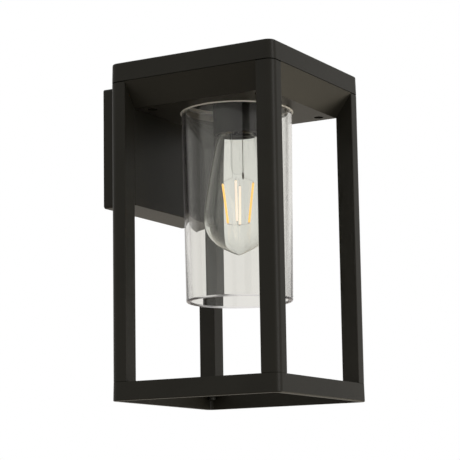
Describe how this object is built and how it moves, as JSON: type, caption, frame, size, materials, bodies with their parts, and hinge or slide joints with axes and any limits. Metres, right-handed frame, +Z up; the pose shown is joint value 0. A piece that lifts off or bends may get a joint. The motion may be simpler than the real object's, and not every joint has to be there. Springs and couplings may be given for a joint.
{
  "type": "outdoor wall lantern",
  "caption": "Square outdoor wall lantern in matt black metal: an open frame of posts round a clear glass tube and an E27 filament lamp, hung from a box on the wall.",
  "frame": {"origin": "on the wall plane, midway between the two wall screws, at the middle of the wall box", "axes": "+X along the wall to the right as a viewer faces the lantern, +Y into the wall, +Z up"},
  "size_m": [0.1756, 0.1903, 0.312],
  "materials": {
    "black_powder_coat": "matt",
    "zinc_steel": "satin",
    "stainless_screws": "satin",
    "black_screws": "black oxide",
    "clear_glass": "clear",
    "lamp_glass": "clear",
    "silicone": "translucent",
    "grommet_rubber": "matt",
    "porcelain": "glazed",
    "nickel_cap": "polished",
    "cap_insulator": "opaque",
    "solder": "dull",
    "filament": "glowing phosphor",
    "terminal_brass": "plain",
    "block_plastic": "moulded",
    "brown_wire": "extruded",
    "blue_wire": "extruded",
    "earth_green": "extruded"
  },
  "bodies": {
    "lantern": {"bottom_frame": "black_powder_coat", "box_front_screws": "stainless_screws", "box_side_screws_left": "stainless_screws", "box_side_screws_right": "stainless_screws", "canopy": "black_powder_coat", "canopy_screws": "black_screws", "earth_lug": "terminal_brass", "earth_nut": "terminal_brass", "earth_stud": "terminal_brass", "earth_wire": "earth_green", "entry_grommet": "grommet_rubber", "front_left_post": "black_powder_coat", "front_right_post": "black_powder_coat", "glass_seal": "silicone", "lamp_tray": "black_powder_coat", "lampholder_body": "porcelain", "lampholder_contact": "terminal_brass", "lampholder_screw": "stainless_screws", "lampholder_shell": "terminal_brass", "lampholder_strap": "zinc_steel", "lampholder_terminals": "terminal_brass", "live_wire": "brown_wire", "neutral_wire": "blue_wire", "post_foot_screws": "black_screws", "post_top_screws": "stainless_screws", "rear_left_post": "black_powder_coat", "rear_right_post": "black_powder_coat", "retaining_screws": "black_screws", "socket_cover": "black_powder_coat", "socket_nut": "zinc_steel", "strap_screws": "stainless_screws", "terminal_block": "block_plastic", "terminal_block_screws": "stainless_screws", "terminal_clamps": "terminal_brass", "terminal_screws": "terminal_brass", "wall_box": "black_powder_coat", "wall_bracket": "zinc_steel", "wall_seal": "silicone"},
    "glass": {"glass_tube": "clear_glass"},
    "lamp": {"bulb_glass": "lamp_glass", "bulb_cap": "nickel_cap", "bulb_cap_insulator": "cap_insulator", "bulb_cap_contact": "solder", "bulb_stem": "lamp_glass", "filaments": "filament", "filament_wires": "nickel_cap"}
  },
  "joints": [
    {"name": "glass_removal", "type": "slide", "parent": "lantern", "child": "glass", "axis": [0, 0, -1], "range_m": [0, 0.3]},
    {"name": "lamp_removal", "type": "slide", "parent": "lantern", "child": "lamp", "axis": [0, 0, -1], "range_m": [0, 0.26]}
  ]
}
